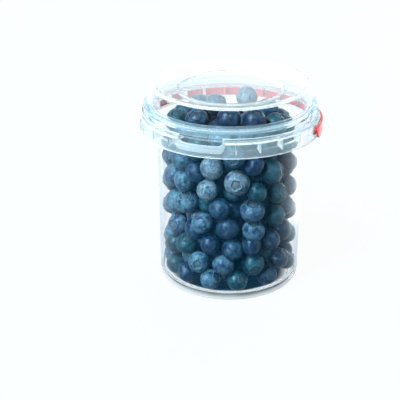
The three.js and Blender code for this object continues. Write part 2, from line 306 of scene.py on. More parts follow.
def tub_outline():
    """The tub cut from the axis outwards: up its outside, over the rim, and down its inside."""
    inner_floor = FLOOR_Z + WALL
    corner_r = BODY_LOW_R - FOOT_R
    web_top = WEB_Z + WEB_T
    inside = (BODY_LOW_R - WALL - INNER_CORNER, inner_floor + INNER_CORNER)
    return rounded([
        (0, FLOOR_Z, 0),
        (FOOT_R - FOOT_RING - 0.4, FLOOR_Z, 0.8),
        (FOOT_R - FOOT_RING, 0, 0.5),
        (FOOT_R - 0.2, 0, 0.3),
        *quarter((FOOT_R, CORNER_H), (corner_r, CORNER_H - 0.1), -88, 0),
        (BODY_TOP_R, SHOULDER_Z + 0.2 * SHOULDER_H, 2.2),
        (NECK_R, SHOULDER_Z + 0.75 * SHOULDER_H, 2.2),
        (NECK_R, WEB_Z, 0.7),
        (COLLAR_INNER_R - 0.2, WEB_Z, 0.6),
        (COLLAR_INNER_R, COLLAR_LOW_Z, 0.25),
        (COLLAR_LIP_R, COLLAR_LOW_Z, 0.3),
        (COLLAR_LIP_R - 0.05, COLLAR_LOW_Z + 1, 0.4),
        (COLLAR_R, COLLAR_LOW_Z + 1.3, 0.3),
        (COLLAR_R, web_top - 0.6, 0.35),
        (BAND_R, web_top + 0.1, 0.3),
        (BAND_R - 0.2, COLLAR_TOP_Z, 0.3),
        (BAND_R - BAND_WALL, COLLAR_TOP_Z, 0.3),
        (BAND_R - BAND_WALL, web_top, 0.5),
        (NECK_R, web_top, 0.7),
        (NECK_R, RIM_Z - 2.6, 0.5),
        (RIM_R, RIM_Z - 1.7, 0.5),
        (RIM_R - 0.2, RIM_Z, 0.7),
        (NECK_R - WALL, RIM_Z, 0.5),
        (NECK_R - WALL, SHOULDER_Z + 0.8 * SHOULDER_H, 2.2),
        (BODY_TOP_R - WALL, SHOULDER_Z + 0.3 * SHOULDER_H, 2.2),
        *quarter(inside, (INNER_CORNER, INNER_CORNER), 0, -90),
        (0, inner_floor, 0),
    ])


def rib_set():
    """The gusset ribs under the web: thin upright plates from the neck to the collar, with the lower inner
    corner cut aslant. The two behind the notch are left out."""
    work = bmesh.new()
    inner = NECK_R - RIB_ROOT
    outer = COLLAR_INNER_R + RIB_SEAT
    height = WEB_Z + RIB_SEAT - RIB_LOW_Z
    for i in range(RIBS):
        angle = (i + 0.5) * 2 * math.pi / RIBS
        behind_notch = abs(angle - 1.5 * math.pi) < RIBLESS_HALF
        if behind_notch:
            continue
        size = Matrix.Diagonal(((outer - inner) * MM, RIB_T * MM, height * MM, 1))
        lift = Matrix.Translation(((inner + outer) / 2 * MM, 0, (RIB_LOW_Z + height / 2) * MM))
        turn = Matrix.Rotation(angle, 4, "Z")
        cube = bmesh.ops.create_cube(work, size=1, matrix=turn @ lift @ size)
        for v in cube["verts"]:
            if v.co.z < (RIB_LOW_Z + 1) * MM and v.co.to_2d().length < RIB_MIDDLE_R * MM:
                v.co.z += RIB_CHAMFER * MM
    return new_object("ribs", work)


def u_outline(left, right, low, high, corner, steps=8):
    """A U, closed at the top, with eased lower corners, as (across, height) points."""
    return rounded([(left, high, 0), (left, low, corner), (right, low, corner), (right, high, 0)], steps)


def wrapped_plate(name, outline, inner_r, outer_r, edge):
    """A flat plate bent round the axis at the front, its outer edges eased by a bevel."""
    work = bmesh.new()
    face = work.faces.new([work.verts.new((x * MM, 0, z * MM)) for x, z in outline])
    grown = bmesh.ops.extrude_face_region(work, geom=[face])
    front = [v for v in grown["geom"] if isinstance(v, bmesh.types.BMVert)]
    for v in front:
        v.co.y = -(outer_r - inner_r) * MM
    bmesh.ops.recalc_face_normals(work, faces=work.faces)
    if edge:
        rim = [e for e in work.edges if all(v in front for v in e.verts)]
        bmesh.ops.bevel(work, geom=rim, offset=edge * MM, segments=3, profile=0.5, affect="EDGES")
    low = min(v.co.x for v in work.verts)
    span = max(v.co.x for v in work.verts) - low
    for k in range(1, WRAP_CUTS):
        plane = (low + span * k / WRAP_CUTS, 0, 0)
        bmesh.ops.bisect_plane(
            work, geom=work.verts[:] + work.edges[:] + work.faces[:], plane_co=plane, plane_no=(1, 0, 0)
        )
    for v in work.verts:
        turn = v.co.x / (COLLAR_R * MM)
        r = inner_r * MM - v.co.y
        v.co = (r * math.sin(turn), -r * math.cos(turn), v.co.z)
    return new_object(name, work)


# Places of the tub's materials, in the order of tub_materials
CLEAR, MILKY, EDGE_FROST_AND_HIGHLIGHT, FOOT, ROLLED = range(5)


def tub_materials():
    return (
        plastic(
            "clear_wall", haze=0.009, roughness=0.03, ior=1.2, milk=(0.02, 0.34, 0.7), mirror=0.08,
            edge_haze=0.14,
        ),
        plastic("milky_collar", haze=0.16, roughness=0.14, ior=1.25, milk=(0.4, 0.57, 0.64), mirror=0.3),
        # The collar's white edges: a milky finish that is partly the frosting of the moulding and partly a
        # painted highlight, standing in for the glints that their thin fillets catch
        plastic("edge_frost_and_highlight", haze=0.5, roughness=0.3, ior=1.2, milk=PALE_MILK, mirror=0.3, edge_haze=0.7),
        plastic("milky_foot", haze=0.14, roughness=0.1, ior=1.2, mirror=0.2),
        plastic(
            "rolled_rim", haze=0.12, roughness=0.06, ior=1.07, milk=(0.45, 0.72, 0.84), mirror=0.8,
            edge_haze=0.14,
        ),
    )


def tub_finish(middle):
    """The material's place for a face of the tub whose middle is here, in millimetres."""
    out = middle.to_2d().length
    on_collar = out > NECK_R + 0.3 and COLLAR_LOW_Z - 1 < middle.z < COLLAR_TOP_Z + 1
    on_ledge = out > BAND_R and abs(middle.z - WEB_Z - 0.7) < 0.5
    on_edge = middle.z > COLLAR_TOP_Z - EDGE_BAND or middle.z < COLLAR_LOW_Z + EDGE_BAND or on_ledge
    at_notch = middle.y < 0 and abs(middle.x) < NOTCH_HALF + 2 and middle.z > NOTCH_LOW_Z - 3
    behind_notch = at_notch and out > NECK_R - 0.5
    # Edge bands of the collar, whitened as frosting and painted highlight
    if on_collar and on_edge and out > BAND_R - BAND_WALL - 0.3:
        return EDGE_FROST_AND_HIGHLIGHT
    if on_collar:
        return MILKY
    if middle.z < FOOT_BAND and out > FOOT_R - FOOT_RING - 1:
        return FOOT
    if middle.z > RIM_Z - RIM_BAND or behind_notch:
        return ROLLED
    return CLEAR


def pin_holes():
    """Two drills along X that leave the holes for the handle's pins."""
    work = bmesh.new()
    hole_r = (PIN_R + PIN_GAP) * MM
    for side in (-1, 1):
        place = Matrix.Translation((side * COLLAR_R * MM, 0, PIVOT_Z * MM))
        across = place @ Matrix.Rotation(math.pi / 2, 4, "Y")
        bmesh.ops.create_cone(
            work, cap_ends=True, segments=32, depth=4 * MM, matrix=across, radius1=hole_r, radius2=hole_r
        )
    return new_object("pin_holes", work)


def make_tub():
    tub = turned("clear_tub", tub_outline())
    for material in tub_materials():
        tub.data.materials.append(material)
    for face in tub.data.polygons:
        face.material_index = tub_finish(face.center / MM)
    ribs = rib_set()
    ribs.data.materials.append(
        plastic("white_ribs", haze=0.4, roughness=0.3, ior=1.2, milk=PALE_MILK, mirror=0.3)
    )
    combine(tub, ribs, "UNION")
    frosted = plastic(
        "frosted_frame", haze=0.28, roughness=0.22, ior=1.25, milk=(0.62, 0.82, 0.9), mirror=0.3
    )
    notch_frame = wrapped_plate(
        "notch_frame",
        u_outline(
            -NOTCH_HALF - FRAME_LEG_LEFT, NOTCH_HALF + FRAME_LEG_RIGHT, NOTCH_LOW_Z - FRAME_BOTTOM,
            COLLAR_TOP_Z - 0.3, NOTCH_CORNER + 1,
        ),
        BAND_R - 0.5, FRAME_R, FRAME_EASE,
    )
    notch_frame.data.materials.append(frosted)
    combine(tub, notch_frame, "UNION")
    notch = wrapped_plate(
        "notch",
        u_outline(-NOTCH_HALF, NOTCH_HALF, NOTCH_LOW_Z, COLLAR_TOP_Z + 0.5, NOTCH_CORNER),
        NOTCH_BACK_R, COLLAR_R + 3, 0,
    )
    notch.data.materials.append(frosted)
    combine(tub, notch, "DIFFERENCE")
    combine(tub, pin_holes(), "DIFFERENCE")
    finish_surface(tub)
    place_piece(tub, "tub", "clear_plastic", "tub")


make_tub()

# ---- Blueberries ----
# Fresh berries with a waxy bloom, poured in and settled up into the dome. Each is a little flat, with a
# five-lobed crown at one end and a stem scar at the other. They lie loose round an unseen middle of painted
# shade: a dark mass in the place of the berries deep in the heap.
BERRIES = 241
BERRY_R_MIN = 7.1
BERRY_R_MAX = 8.6
FLATNESS = 0.88
HEAP_GAP = 0.35
HEAP_R = BODY_LOW_R - WALL - HEAP_GAP
HEAP_LOW_Z = FLOOR_Z + WALL + HEAP_GAP
MOUND_Z = 104
MOUND_SLOPE = 0.6
SPREAD_TOP_Z = MOUND_Z - 8
POUR_R = 38
POUR_TOP_Z = 107.5
BACK_Y = 30
BACK_TOP_Z = 104
SETTLE_STEPS = 300
SETTLE_PULL = 0.45
SETTLE_SPREAD = 0.35
CORE_R = 38.5
CORE_LOW_Z = 18
CORE_TOP_Z = 104
SHOWING_DEPTH = 20
SHOWING_LOW_Z = 20
SHOWING_TOP_Z = 100
POUR_SEED = 20741
KIND_SEED = 240947
SHAPE_SEED = 5
DRAW_FACTOR = 16807
DRAW_MODULUS = 2147483647
# A loose berry is of the first kind whose number lies above its draw
KIND_DRAWS = (("pale", 0.22), ("blue", 0.5), ("dark", 0.75), ("teal", 1))

# Berries pressed against the wall: degrees from the front, height, radius, kind, and how the crown points,
# as degrees to the right of straight out and degrees up
WALL_BERRIES = [
    (23, 99, 7.5, "blue", -15, -2), (-33, 92, 8, "blue", 10, 60), (1, 90, 7.9, "pale", 160, 10),
    (64, 84.3, 8.3, "teal", 32, 12), (26, 80.3, 8.5, "pale", -14, 10), (-32, 77, 7.8, "blue", 150, 0),
    (-3, 75, 7.3, "pale", 170, -20), (45, 73, 6.9, "teal", 120, 40), (9, 63, 7.2, "dark", 170, -30),
    (-29, 62, 8, "blue", 20, 66), (42, 60, 8.4, "blue", -18, 68), (-9, 51, 7.5, "blue", 150, -50),
    (17, 49, 7.4, "dark", 175, 30), (43, 46, 7.8, "blue", -15, 72), (22, 34, 7.2, "dark", 150, -20),
    (43, 21.5, 7.9, "teal", -10, -15), (77, 19.5, 7.4, "dark", 20, 40), (72, 68, 7.2, "teal", 0, 20),
    (-43, 43, 7.1, "blue", 20, 10), (-1, 37, 7.2, "dark", 130, 20), (70, 52, 7.2, "teal", 20, -20),
    (-71, 85, 7.8, "blue", 40, 10), (-70, 68, 7.8, "blue", 30, -30), (-71, 50, 8, "blue", -30, 50),
    (-68, 28, 7.5, "blue", 0, 20), (62, 36.5, 7.6, "dark", 140, 0), (95, 84, 7.6, "dark", 100, 30),
    (104, 65, 7.7, "blue", 60, 10), (104, 48, 7.6, "dark", 10, 60), (103, 30.3, 7.6, "pale", 90, 0),
    (-28.5, 32.3, 7.6, "teal", 60, 60), (-12, 22, 7.4, "blue", 20, 10), (13, 22.5, 7.4, "blue", 170, 30),
    (97, 12, 7.5, "blue", 50, 40),
]
# Degrees from the front of a ring of berries that stand on the floor against the wall
FLOOR_RING = (59, 27, 0, -27, -50, -74, -98, -122, -146, -170, 166, 142, 120)
FLOOR_RING_R = 7.3
FLOOR_RING_KINDS = ("dark", "teal", "blue")
FLOOR_RING_TURN = 40
FLOOR_RING_RISE = 30
# Berries on the mound and in the gaps, placed the same way: the distance from the axis follows the degrees
INNER_BERRIES = [
    (156, 16.3, 120.8, 7.4, "pale", 42, -43), (-93, 21.4, 116.4, 7.8, "blue", 30, 30),
    (-48, 9.9, 121, 7.4, "blue", 120, 40), (108, 24.6, 117, 7.5, "blue", 60, 30),
    (17, 27.5, 120.3, 7.9, "dark", 185, -35), (48, 31, 119, 7.8, "dark", 0, 60),
    (-22, 32, 118, 7.6, "dark", 20, 50), (-55, 35, 113.5, 7.8, "teal", 60, 60),
    (78, 34, 113.5, 7.7, "teal", 10, 40), (40, 26, 34, 7.4, "dark", 90, 0), (24, 27, 71, 7.6, "blue", 90, 0),
]


def draws_from(seed):
    """An endless row of even draws from 0 to 1."""
    while True:
        seed = seed * DRAW_FACTOR % DRAW_MODULUS
        yield seed / DRAW_MODULUS


def in_ball(draw):
    """A point inside a ball of radius 1, away from its middle."""
    while True:
        v = [2 * next(draw) - 1 for _ in range(3)]
        if 0.01 < v[0] * v[0] + v[1] * v[1] + v[2] * v[2] < 1:
            return v


def placed_berry(place, draw):
    """A berry that stays where it is put. It takes its draws from the row as a poured one does."""
    angle, out, z, radius, kind, crown_turn, crown_rise = place
    in_ball(draw)
    facing = math.radians(angle + crown_turn)
    rise = math.radians(crown_rise)
    crown = (math.sin(facing) * math.cos(rise), -math.cos(facing) * math.cos(rise), math.sin(rise))
    x = out * math.sin(math.radians(angle))
    y = -out * math.cos(math.radians(angle))
    return {"at": [x, y, z], "radius": radius, "crown": crown, "kind": kind, "placed": True}


def roll(berry, pull, spread):
    """Draws a loose berry down a little and, below the mound, out towards the wall."""
    at = berry["at"]
    at[2] -= pull
    out = math.sqrt(at[0] * at[0] + at[1] * at[1])
    if at[2] <= SPREAD_TOP_Z and out > 0:
        at[0] *= 1 + spread / out
        at[1] *= 1 + spread / out


def push_apart(a, b):
    """Parts two berries that overlap. A placed one stays where it is."""
    reach = a["radius"] + b["radius"]
    p, q = a["at"], b["at"]
    dz = q[2] - p[2]
    if dz > reach or dz < -reach or (a["placed"] and b["placed"]):
        return
    dx = q[0] - p[0]
    dy = q[1] - p[1]
    square = dx * dx + dy * dy + dz * dz
    if square >= reach * reach or square == 0:
        return
    distance = math.sqrt(square)
    push = (reach - distance) / distance
    share = 0 if a["placed"] else push if b["placed"] else 0.5 * push
    rest = push - share
    for axis, d in enumerate((dx, dy, dz)):
        p[axis] -= d * share
        q[axis] += d * rest


def keep_inside(berry):
    """Keeps a berry off the wall and the floor and under the mound's slope."""
    at, radius = berry["at"], berry["radius"]
    room = HEAP_R - radius
    if at[2] > MOUND_Z:
        room -= MOUND_SLOPE * (at[2] - MOUND_Z)
    out = math.sqrt(at[0] * at[0] + at[1] * at[1])
    if out > room:
        at[0] *= room / out
        at[1] *= room / out
    at[2] = min(max(at[2], HEAP_LOW_Z + radius), POUR_TOP_Z)


def poured_berry(lift, draw):
    """A loose berry that starts this far above the floor."""
    radius = BERRY_R_MIN + (BERRY_R_MAX - BERRY_R_MIN) * next(draw)
    x, y, _ = in_ball(draw)
    z = HEAP_LOW_Z + radius + lift
    return {"at": [POUR_R * x, POUR_R * y, z], "radius": radius, "crown": in_ball(draw), "placed": False}


def settled_berries():
    """The placed berries, and the rest poured in round them and settled, each at its centre."""
    draw = draws_from(POUR_SEED)
    at_wall = [(angle, HEAP_R - radius, z, radius, *rest) for angle, z, radius, *rest in WALL_BERRIES]
    ring = (HEAP_R - FLOOR_RING_R, HEAP_LOW_Z + FLOOR_RING_R, FLOOR_RING_R)
    on_floor = [
        (angle, *ring, FLOOR_RING_KINDS[i % 3], FLOOR_RING_TURN * i, FLOOR_RING_RISE)
        for i, angle in enumerate(FLOOR_RING)
    ]
    placed = [placed_berry(place, draw) for place in at_wall + on_floor + INNER_BERRIES]
    count = BERRIES - len(placed)
    loose = [poured_berry((POUR_TOP_Z - HEAP_LOW_Z) * i / count, draw) for i in range(count)]
    berries = placed + loose
    for step in range(SETTLE_STEPS):
        fade = 1 - step / SETTLE_STEPS
        for berry in loose:
            roll(berry, SETTLE_PULL * fade, SETTLE_SPREAD * fade)
        for i, berry in enumerate(berries):
            for other in berries[i + 1:]:
                push_apart(berry, other)
        for berry in loose:
            keep_inside(berry)
    kind_draw = draws_from(KIND_SEED)
    for berry in loose:
        pick = next(kind_draw)
        berry["kind"] = next(kind for kind, top in KIND_DRAWS if pick < top)
    return [b for b in berries if b["placed"] or b["at"][2] < BACK_TOP_Z or b["at"][1] < BACK_Y]


# Rows of a berry's mesh, in degrees from the crown's middle to the stem scar; the crown's own rows are close
CROWN_ROWS = (3, 6.5, 10.5, 14, 17, 19.5, 21.5, 23, 24.2, 25.4, 26.8, 28.6, 31, 34)
SIDE_ROWS = (
    38, 43, 49, 56, 64, 72, 80, 88, 96, 104, 112, 120, 128, 136, 144, 151, 157.5, 163, 167.5, 171, 174, 177,
)
BERRY_COLUMNS = 36
LOBES = 5
CROWN_SIZE = (0.88, 1.12)
LOBE_SIZE = (0.45, 1.1)
STAR_ANGLE = np.radians(25.5)
CROWN_END = np.radians(CROWN_ROWS[-1])
SIDE_SPAN = 2.55
PIT_DEPTH = 0.075
SCAR_DEPTH = 0.05
RAGGED_WAVES = (7, 11, 16)
ANY_TURN = (0, 6.3)


def bell(offset, width):
    """1 where the offset is nought, fading to nothing over the width."""
    return np.exp(-(offset / width) ** 2)


def crown_relief(rows, columns, size, rng):
    """How far the crown rises and leans out at each point, as shares of the radius, and how much each point
    belongs to its pit, its sepals, and the fold inside them that is painted with shade."""
    part = (columns * LOBES / (2 * np.pi) + rng.uniform()) % LOBES
    height = rng.uniform(*LOBE_SIZE, LOBES)[part.astype(int) % LOBES]
    bulge = np.sin(np.pi * (part % 1))
    lobe = bulge ** 0.7 * height
    waves = [rng.uniform(0.4, 1) * np.cos(columns * n + rng.uniform(*ANY_TURN)) for n in RAGGED_WAVES]
    ragged = sum(waves) / 3
    star = STAR_ANGLE * size * (1 - 0.2 * (1 - bulge))
    sepals = bell(rows - star - 0.03, np.where(rows < star + 0.03, 0.028, 0.055))
    pit = 1 / (1 + np.exp((rows - star + 0.02) / 0.012))
    crease_shade = bell(rows - star + 0.035, 0.032)
    rise = sepals * (0.03 + 0.07 * lobe + 0.015 * ragged) - pit * (0.085 - 0.035 * bell(rows, 0.1))
    return rise, sepals * 0.04 * lobe, pit, sepals * (0.3 + 0.7 * lobe), crease_shade


def lumps(rows, columns, rng):
    """The berry's own unevenness, as a share of the radius."""
    height = 0
    for n in (1, 2, 3):
        wave = rng.uniform(0.002, 0.009) * np.cos(columns * n + rng.uniform(*ANY_TURN))
        height = height + wave * np.sin(rows) ** n
    height = height + 0.012 * np.cos(2 * rows + rng.uniform(*ANY_TURN)) * np.sin(rows)
    return height - 0.02 * np.sin(rows) ** 2


def berry_shape(berry, rng):
    """Points of one berry about its centre, in millimetres, and marks: pit, sepals, scar and the fold's
    painted shade.
    """
    rows = np.radians(np.array(CROWN_ROWS + SIDE_ROWS))[:, None]
    columns = (np.arange(BERRY_COLUMNS) * 2 * np.pi / BERRY_COLUMNS)[None, :]
    size = rng.uniform(*CROWN_SIZE)
    moved_on = (size - 1) * CROWN_END * (np.pi - rows) / SIDE_SPAN
    rows = np.where(rows < CROWN_END, rows * size, rows + moved_on)
    rise, lean, pit, sepals, crease_shade = crown_relief(rows, columns, size, rng)
    scar = bell(np.pi - rows, 0.13)
    scar_ring = bell(np.pi - rows - 0.2, 0.06)
    reach = 1 + (rise - 0.055 * scar + 0.012 * scar_ring) + lumps(rows, columns, rng)
    tilt = rows + lean
    flatness = FLATNESS + rng.uniform(-0.05, 0.02)
    x = reach * np.sin(tilt) * np.cos(columns)
    y = reach * np.sin(tilt) * np.sin(columns)
    z = reach * np.cos(tilt) * flatness
    crown_end = [[0, 0, (1 - PIT_DEPTH) * flatness]]
    stem_end = [[0, 0, -(1 - SCAR_DEPTH) * flatness]]
    sides = np.stack([x, y, z], -1).reshape(-1, 3)
    points = np.concatenate([crown_end, sides, stem_end]) * berry["radius"]
    marks = np.stack([pit, sepals, scar + 0 * columns, crease_shade], -1).reshape(-1, 4)
    marks = np.concatenate([[[1, 0, 0, 0]], marks, [[0, 0, 1, 0]]])
    turn = Vector((0, 0, 1)).rotation_difference(Vector(berry["crown"]).normalized()).to_matrix()
    spin = Matrix.Rotation(rng.uniform(*ANY_TURN), 3, "Z")
    return points @ np.array(turn @ spin).T, marks


def berry_faces():
    """Faces of one berry's rows and columns, with a fan at each end."""
    count = len(CROWN_ROWS + SIDE_ROWS)
    faces = []
    for c in range(BERRY_COLUMNS):
        d = (c + 1) % BERRY_COLUMNS
        faces.append((0, 1 + c, 1 + d))
        for r in range(count - 1):
            a = 1 + r * BERRY_COLUMNS
            faces.append((a + c, a + BERRY_COLUMNS + c, a + BERRY_COLUMNS + d, a + d))
        last = 1 + (count - 1) * BERRY_COLUMNS
        faces.append((last + c, last + BERRY_COLUMNS, last + d))
    return faces


def berry_skin(name, bloom, skin, rubbed, violet):
    """Dark skin, violet in places, under pale bloom that is rubbed off in patches, more so the higher rubbed
    is. The crown has pale sepals and a dark pit, partly its own colour and partly painted shade, with
    painted shade in the fold inside the sepals, and the stem scar is a dull grey."""
    material, steps, shader = new_material(name)
    marks = steps.add("Attribute", attribute_name="marks")
    pit, sepals, scar = steps.add("SeparateColor", {"Color": marks.outputs["Color"]}).outputs
    own_tone = steps.add("Attribute", attribute_name="own_tone").outputs["Fac"]
    patches = steps.ranged(steps.noise(260, 6, 0.65), rubbed - 0.12, rubbed + 0.1)
    speckles = steps.ranged(steps.noise(1100, 3, 0.7), 0.42, 0.58, 0.35, 1)
    cover = steps.maths("MULTIPLY", steps.maths("MULTIPLY", patches, speckles), own_tone)
    base = steps.colour_between(steps.ranged(steps.noise(70, 2), 0.4, 0.65), skin, violet)
    colour = steps.colour_between(cover, base, bloom)
    # The pit's dark is partly the crown's own colour and partly painted shade in its hollow; the fold inside
    # the sepals, the marks' alpha, is darkened as painted shade
    for mark, strength, tone in (
        (pit, 0.75, tuple(0.35 * c + 0.015 for c in bloom)),
        (sepals, 0.55, tuple(min(1, 1.5 * c) for c in bloom)),
        (marks.outputs["Alpha"], 0.85, tuple(0.4 * c for c in skin)),
        (scar, 0.6, (0.09, 0.1, 0.1)),
    ):
        colour = steps.colour_between(steps.maths("MULTIPLY", mark, strength), colour, tone)
    steps.fill(shader, {
        "Base Color": colour,
        "Roughness": steps.ranged(cover, 0, 1, 0.3, 0.5),
        "Specular IOR Level": 0.25,
        "Specular Tint": (0.45, 0.78, 0.95),
        "Normal": steps.relief(steps.noise(900, 4, 0.6), 0.25, 0.15),
    })
    return material


def make_berries(name, berries, material, own_tone, seed):
    """All berries of one kind as one mesh."""
    rng = np.random.default_rng(seed)
    one = np.array([face + (face[2],) if len(face) == 3 else face for face in berry_faces()])
    points, marks, tones, faces = [], [], [], []
    for i, berry in enumerate(berries):
        shape, mark = berry_shape(berry, rng)
        faces.append(one + i * len(shape))
        points.append(shape + berry["at"])
        marks.append(mark)
        tones.append(np.full(len(shape), rng.uniform(*own_tone)))
    mesh = bpy.data.meshes.new(name)
    listed = [tuple(f[:3]) if f[3] == f[2] else tuple(f) for f in np.concatenate(faces).tolist()]
    mesh.from_pydata((np.concatenate(points) * MM).tolist(), [], listed)
    colours = np.concatenate(marks).ravel().astype(np.float32)
    mesh.attributes.new("marks", "FLOAT_COLOR", "POINT").data.foreach_set("color", colours)
    shades = np.concatenate(tones).astype(np.float32)
    mesh.attributes.new("own_tone", "FLOAT", "POINT").data.foreach_set("value", shades)
    mesh.shade_smooth()
    mesh.materials.append(material)
    piece = bpy.data.objects.new(name, mesh)
    bpy.context.collection.objects.link(piece)
    place_piece(piece, "tub", "berry_skin", "blueberries")


def painted_shade_core():
    """Painted shade: a dark mass in the middle that the berries lie round, out of sight, in the place of the
    berries deep in the heap.
    """
    core = turned("painted_shade_core", rounded([
        (0, CORE_LOW_Z, 0),
        (CORE_R - 16, CORE_LOW_Z, 4),
        (CORE_R - 12, CORE_LOW_Z + 4, 4),
        (CORE_R - 12, CORE_TOP_Z - 12, 8),
        (CORE_R - 20, CORE_TOP_Z - 2, 8),
        (0, CORE_TOP_Z, 0),
    ]))
    material, steps, shader = new_material("berry_shade")
    tone = steps.toned(steps.noise(60, 2), (0.001, 0.006, 0.018), (0.002, 0.018, 0.045))
    steps.fill(shader, {"Base Color": tone, "Roughness": 0.8})
    core.data.materials.append(material)
    finish_surface(core)
    place_piece(core, "tub", "berry_skin", "blueberries")


def shows(berry):
    """Whether a berry can be seen: near the wall, on the mound, or through the floor."""
    x, y, z = berry["at"]
    near_wall = HEAP_R - berry["radius"] - math.hypot(x, y) < SHOWING_DEPTH
    return near_wall or z > SHOWING_TOP_Z or z < SHOWING_LOW_Z


# Each kind's finish, and the least and most of its bloom that one berry keeps
BERRY_KINDS = {
    "pale": (
        berry_skin("pale_bloom", (0.185, 0.32, 0.4), (0.003, 0.05, 0.11), 0.44, (0.015, 0.035, 0.12)),
        (0.7, 1),
    ),
    "blue": (
        berry_skin("blue_bloom", (0.085, 0.22, 0.31), (0.001, 0.027, 0.07), 0.48, (0.007, 0.022, 0.085)),
        (0.65, 1),
    ),
    "dark": (
        berry_skin("dark_skin", (0.035, 0.11, 0.19), (0.001, 0.013, 0.041), 0.53, (0.006, 0.013, 0.048)),
        (0.5, 0.9),
    ),
    "teal": (
        berry_skin("teal_skin", (0.03, 0.13, 0.19), (0.001, 0.02, 0.04), 0.51, (0.002, 0.028, 0.04)),
        (0.6, 0.95),
    ),
}

all_berries = [berry for berry in settled_berries() if shows(berry)]
painted_shade_core()
for i, (kind, (finish, own_tone)) in enumerate(BERRY_KINDS.items()):
    of_kind = [berry for berry in all_berries if berry["kind"] == kind]
    make_berries(f"{kind}_berries", of_kind, finish, own_tone, SHAPE_SEED + i)

# ---- Lid ----
# A clear press-on moulding: a skirt that grips the rim inside the collar, a plug ring, and a dome with a
# raised stacking ring and a sunk panel. The step round the panel is lightly frosted.
SKIRT_R = 56.7
SKIRT_LOW_Z = 117.5
FLANGE_Z = 122.3
DOME_BASE_R = 53.4
DOME_BASE_Z = 124
DOME_TOP_R = 52.3
CREST_R = 50.4
CREST_Z = 136
ANNULUS_R = 46.6
ANNULUS_Z = 132.7
PANEL_R = 33.4
PANEL_Z = 130.1
PLUG_R = 51.7
PLUG_LOW_Z = 118.6
LID_GAP = 0.35
LID_WALL = 0.8


def lid_outline():
    """The lid cut from the axis outwards: along its underside, round the skirt, and back over the top."""
    wall = LID_WALL
    return rounded([
        (0, PANEL_Z - wall, 0),
        (PANEL_R + wall, PANEL_Z - wall, 0.6),
        (PANEL_R + wall + 0.3, ANNULUS_Z - wall, 0.6),
        (ANNULUS_R + 0.5, ANNULUS_Z - wall, 1.2),
        (CREST_R - 1.2, CREST_Z - wall, 1.2),
        (DOME_TOP_R - wall, CREST_Z - 1.8, 1),
        (DOME_BASE_R - wall, DOME_BASE_Z + 0.5, 0.8),
        (PLUG_R - wall, DOME_BASE_Z - 0.8, 0.6),
        (PLUG_R - wall, PLUG_LOW_Z, 0.3),
        (PLUG_R, PLUG_LOW_Z, 0.3),
        (PLUG_R, RIM_Z + LID_GAP, 0.3),
        (SKIRT_R - wall, RIM_Z + LID_GAP, 0.3),
        (SKIRT_R - wall, SKIRT_LOW_Z, 0.25),
        (SKIRT_R, SKIRT_LOW_Z, 0.25),
        (SKIRT_R, FLANGE_Z, 0.8),
        (DOME_BASE_R, DOME_BASE_Z, 0.9),
        (DOME_TOP_R, CREST_Z - 1.2, 1.4),
        (CREST_R, CREST_Z, 1.2),
        (CREST_R - 1.8, CREST_Z, 1),
        (ANNULUS_R, ANNULUS_Z, 1.2),
        (PANEL_R + 0.3, ANNULUS_Z, 0.6),
        (PANEL_R, PANEL_Z, 0.6),
        (0, PANEL_Z, 0),
    ])


# Places of the lid's materials, in the order of lid_materials
DOME, STEP, TOP, SKIRT, LID_EDGE_FROST_AND_HIGHLIGHT = range(5)


def lid_materials():
    return (
        plastic("lid_dome", haze=0.001, roughness=0.04, ior=1.1, milk=(0.9, 0.95, 1), edge_haze=0.6),
        plastic("lid_step", haze=0.16, roughness=0.14, ior=1.15, milk=(0.8, 0.92, 0.97)),
        plastic("lid_top", haze=0.035, roughness=0.05, ior=1.1, edge_haze=0.3),
        plastic("lid_skirt", haze=0.1, roughness=0.06, ior=1.08, milk=(0.36, 0.62, 0.76), edge_haze=0.12),
        # The skirt's rims and the stacking crest: a milkier finish, partly frosting and partly a painted
        # highlight that stands in for the glints their fillets catch
        plastic("lid_edge_frost_and_highlight", haze=0.12, roughness=0.2, ior=1.1, edge_haze=0.25),
    )


def lid_finish(middle):
    """The material's place for a face of the lid whose middle is here, in millimetres."""
    out = middle.to_2d().length
    on_skirt_edge = out > SKIRT_R - 0.35 and (middle.z > FLANGE_Z - 0.6 or middle.z < SKIRT_LOW_Z + 0.25)
    on_ring = out > ANNULUS_R - 0.4 and middle.z > ANNULUS_Z - 0.9
    on_crest = on_ring and (out < CREST_R or middle.z > CREST_Z - 1.9)
    # Skirt rims and crest, whitened as frosting and painted highlight
    if on_skirt_edge or on_crest:
        return LID_EDGE_FROST_AND_HIGHLIGHT
    if middle.z < DOME_BASE_Z + 0.3:
        return SKIRT
    if PANEL_R - 0.5 < out < PANEL_R + 1.4:
        return STEP
    if out < ANNULUS_R + 1:
        return TOP
    return DOME


def make_lid():
    lid = turned("clear_lid", lid_outline())
    for material in lid_materials():
        lid.data.materials.append(material)
    for face in lid.data.polygons:
        face.material_index = lid_finish(face.center / MM)
    finish_surface(lid)
    place_piece(lid, "tub", "clear_plastic", "lid")


make_lid()

# ---- Handle ----
# A bail handle moulded in red polypropylene: a thin strap bent to a half circle, with a boss at each end
# whose pin goes through the collar and is held by a rivet head. It swings on the two pins.
STRAP_R = 59.35
STRAP_T = 0.9
STRAP_H = 6.8
BOSS_R = 4.4
BOSS_T = 1.2
HEAD_R = 3
HEAD_T = 1.6
HEAD_X = COLLAR_INNER_R - 0.5
BEAD = 0.2
BEND_STEPS = 96
STUD_STEPS = 40


def red_plastic():
    material, steps, shader = new_material("red_handle")
    cloud = steps.noise(90, 3)
    steps.fill(shader, {
        "Base Color": steps.toned(cloud, (0.88, 0.016, 0.018), (0.97, 0.03, 0.03), 0.3, 0.75),
        "Roughness": 0.3,
        "Subsurface Weight": 0.08,
        "Subsurface Scale": 0.8 * MM,
        "Normal": steps.relief(cloud, 0.08, 0.5),
    })
    return material


